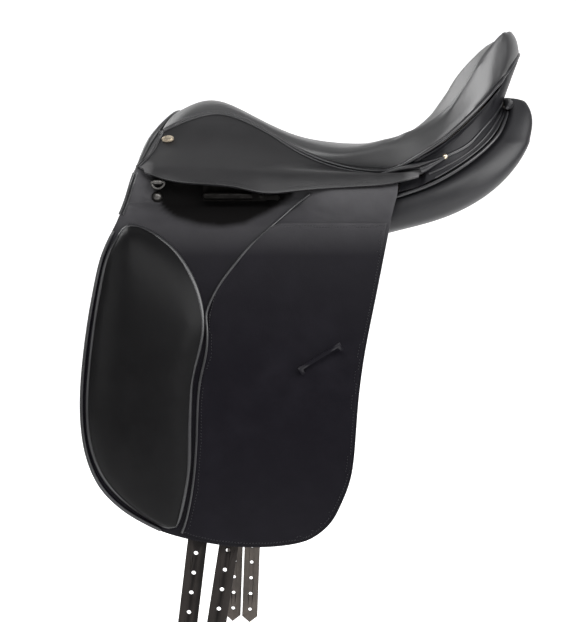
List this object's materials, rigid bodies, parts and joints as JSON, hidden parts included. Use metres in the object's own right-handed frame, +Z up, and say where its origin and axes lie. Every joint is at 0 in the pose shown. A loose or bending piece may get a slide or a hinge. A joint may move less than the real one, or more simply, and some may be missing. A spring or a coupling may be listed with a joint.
{
  "type": "dressage saddle",
  "caption": "Deep-seated dressage saddle with straight flaps, knee pads, stuffed panels, stirrup bars and long girth straps, on a wooden spring tree.",
  "frame": {"origin": "centre plane, level with the panels' bearing surface, under the seat", "axes": "+X to the cantle, +Y to the off (right) side, +Z up"},
  "size_m": [0.5301, 0.4168, 0.8077],
  "materials": {
    "seat_leather": "grained black, soft sheen",
    "skirt_leather": "smooth black, worn to grey",
    "flap_leather": "smooth black, slightly blue",
    "pad_leather": "glossy black over foam",
    "piping_leather": "black piping",
    "panel_leather": "soft black calf",
    "billet_leather": "dark strap leather, flesh side tan",
    "steel": "forged and polished",
    "stud_metal": "pale brass, plain",
    "tree_wood": "laminated beech",
    "webbing": "linen web",
    "foam": "seat foam"
  },
  "bodies": {
    "saddle_body": {"tree_frame": "tree_wood", "tree_head": "tree_wood", "gullet_plate": "steel", "spring_steel_left": "steel", "spring_steel_right": "steel", "tree_rivets": "steel", "seat_webs": "webbing", "cross_web": "webbing", "girth_web_left": "webbing", "girth_web_right": "webbing", "seat_foam": "foam", "seat_cover": "seat_leather", "seat_welt": "piping_leather", "cantle_back": "seat_leather", "pommel_facing": "seat_leather", "front_arch_piping": "piping_leather", "rear_facing_left": "seat_leather", "rear_facing_right": "seat_leather", "skirt_top_left": "skirt_leather", "skirt_top_right": "skirt_leather", "stirrup_bar_left": "steel", "stirrup_bar_right": "steel", "stirrup_bar_rivets": "steel", "lever_pins": "steel", "flap_top_left": "flap_leather", "flap_top_right": "flap_leather", "sweat_flap_left": "flap_leather", "sweat_flap_right": "flap_leather", "panel_left": "panel_leather", "panel_right": "panel_leather", "panel_piping": "piping_leather", "pommel_studs": "stud_metal", "rear_studs": "stud_metal", "flap_studs": "steel", "dee_plate_left": "steel", "dee_plate_right": "steel"},
    "skirt_left": {"skirt_left": "skirt_leather"},
    "skirt_right": {"skirt_right": "skirt_leather"},
    "flap_left": {"flap_left": "flap_leather", "knee_pad_left": "pad_leather", "flap_overlay_left": "flap_leather", "keeper_left": "flap_leather", "flap_piping_left": "piping_leather"},
    "flap_right": {"flap_right": "flap_leather", "knee_pad_right": "pad_leather", "flap_overlay_right": "flap_leather", "keeper_right": "flap_leather", "flap_piping_right": "piping_leather"},
    "thumb_lever_left": {"thumb_lever_left": "steel"},
    "thumb_lever_right": {"thumb_lever_right": "steel"},
    "dee_left": {"dee_left": "steel"},
    "dee_right": {"dee_right": "steel"},
    "billet_left_front": {"billet_left_front": "billet_leather"},
    "billet_left_rear": {"billet_left_rear": "billet_leather"},
    "billet_right_front": {"billet_right_front": "billet_leather"},
    "billet_right_rear": {"billet_right_rear": "billet_leather"}
  },
  "joints": [
    {"name": "skirt_left_lift", "type": "hinge", "parent": "saddle_body", "child": "skirt_left", "pos_m": [-0.186, -0.114, 0.0812], "axis": [-0.9993, 0.0337, 0.0153], "range_deg": [0, 70]},
    {"name": "flap_left_lift", "type": "hinge", "parent": "saddle_body", "child": "flap_left", "pos_m": [0, -0.135, 0.0202], "axis": [-1, 0, 0], "range_deg": [0, 80]},
    {"name": "thumb_lever_left_turn", "type": "hinge", "parent": "saddle_body", "child": "thumb_lever_left", "pos_m": [-0.045, -0.112, 0.048], "axis": [0, -1, 0], "range_deg": [0, 75]},
    {"name": "dee_left_swing", "type": "hinge", "parent": "saddle_body", "child": "dee_left", "pos_m": [-0.166, -0.114, 0.064], "axis": [-1, 0, 0], "range_deg": [0, 60]},
    {"name": "skirt_right_lift", "type": "hinge", "parent": "saddle_body", "child": "skirt_right", "pos_m": [-0.186, 0.114, 0.0812], "axis": [0.9993, 0.0337, -0.0153], "range_deg": [0, 70]},
    {"name": "flap_right_lift", "type": "hinge", "parent": "saddle_body", "child": "flap_right", "pos_m": [0, 0.135, 0.0202], "axis": [1, 0, 0], "range_deg": [0, 80]},
    {"name": "thumb_lever_right_turn", "type": "hinge", "parent": "saddle_body", "child": "thumb_lever_right", "pos_m": [-0.045, 0.112, 0.048], "axis": [0, -1, 0], "range_deg": [0, 75]},
    {"name": "dee_right_swing", "type": "hinge", "parent": "saddle_body", "child": "dee_right", "pos_m": [-0.166, 0.114, 0.064], "axis": [1, 0, 0], "range_deg": [0, 60]},
    {"name": "billet_left_front_swing", "type": "hinge", "parent": "saddle_body", "child": "billet_left_front", "pos_m": [-0.07552, 0, 0], "axis": [0, 1, 0], "range_deg": [-5, 5]},
    {"name": "billet_left_rear_swing", "type": "hinge", "parent": "saddle_body", "child": "billet_left_rear", "pos_m": [-0.0272, 0, 0], "axis": [0, 1, 0], "range_deg": [-5, 5]},
    {"name": "billet_right_front_swing", "type": "hinge", "parent": "saddle_body", "child": "billet_right_front", "pos_m": [-0.07492, 0, 0], "axis": [0, 1, 0], "range_deg": [-5, 5]},
    {"name": "billet_right_rear_swing", "type": "hinge", "parent": "saddle_body", "child": "billet_right_rear", "pos_m": [-0.04871, 0, 0], "axis": [0, 1, 0], "range_deg": [-5, 5]}
  ]
}
